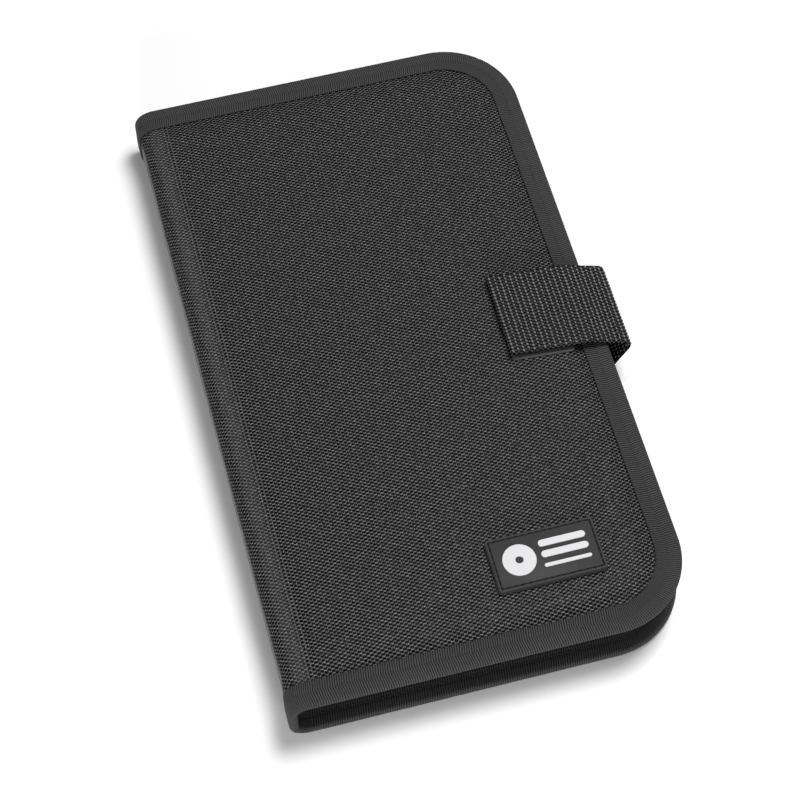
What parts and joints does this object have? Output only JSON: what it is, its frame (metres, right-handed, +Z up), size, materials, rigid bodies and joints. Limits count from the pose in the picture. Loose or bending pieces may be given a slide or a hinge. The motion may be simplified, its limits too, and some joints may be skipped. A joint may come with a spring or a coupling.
{
  "type": "cd storage case",
  "caption": "Book-style padded disc wallet of woven nylon with taped edges, bound sleeves and a webbing closure strap.",
  "frame": {"origin": "middle of the back cover's flat underside, where the closed case lies on a table", "axes": "+X from the spine to the fore-edge, +Y along the spine from the bottom edge to the top edge, +Z up through the thickness"},
  "size_m": [0.1756, 0.2916, 0.0322],
  "materials": {
    "woven_nylon": "coarse ballistic weave, satin yarns",
    "binding_tape": "fine ribbed grosgrain tape",
    "webbing_nylon": "coarse ribbed webbing",
    "lining_cloth": "plain fine weave",
    "foam": "closed-cell foam",
    "board": "grey fibre board",
    "sleeve_film": "dark sleeve film",
    "rubber": "satin moulded rubber",
    "loop_pile": "brushed loop pile",
    "hook_tape": "moulded hook tape"
  },
  "bodies": {
    "back_cover": {"back_cover_shell": "woven_nylon", "back_foam_pad": "foam", "back_board": "board", "back_lining": "lining_cloth", "back_binding": "binding_tape", "sleeve_pages": "sleeve_film"},
    "spine": {"spine_shell": "woven_nylon", "spine_board": "board", "spine_lining": "lining_cloth", "spine_binding_top": "binding_tape", "spine_binding_bottom": "binding_tape"},
    "front_cover": {"front_cover_shell": "woven_nylon", "front_foam_pad": "foam", "front_board": "board", "front_lining": "lining_cloth", "front_binding": "binding_tape", "loop_patch": "loop_pile", "badge": "rubber"},
    "strap_riser": {"strap_riser": "webbing_nylon"},
    "strap_flap": {"strap_flap": "webbing_nylon", "hook_patch": "hook_tape"}
  },
  "joints": [
    {"name": "spine_fold", "type": "hinge", "parent": "back_cover", "child": "spine", "pos_m": [-0.08067, 0, 0.00183], "axis": [0, -1, 0], "range_deg": [0, 90]},
    {"name": "cover_fold", "type": "hinge", "parent": "spine", "child": "front_cover", "pos_m": [-0.08067, 0, 0.02617], "axis": [0, -1, 0], "range_deg": [0, 90]},
    {"name": "strap_root", "type": "hinge", "parent": "back_cover", "child": "strap_riser", "pos_m": [0.0828, 0, 0.0018], "axis": [0, 1, 0], "range_deg": [0, 47]},
    {"name": "strap_bend", "type": "hinge", "parent": "strap_riser", "child": "strap_flap", "pos_m": [0.09282, 0, 0.02325], "axis": [0, 1, 0], "range_deg": [0, 121]}
  ],
  "couplings": [
    {"joint": "strap_bend", "follows": "strap_root", "ratio": 2.5745}
  ]
}
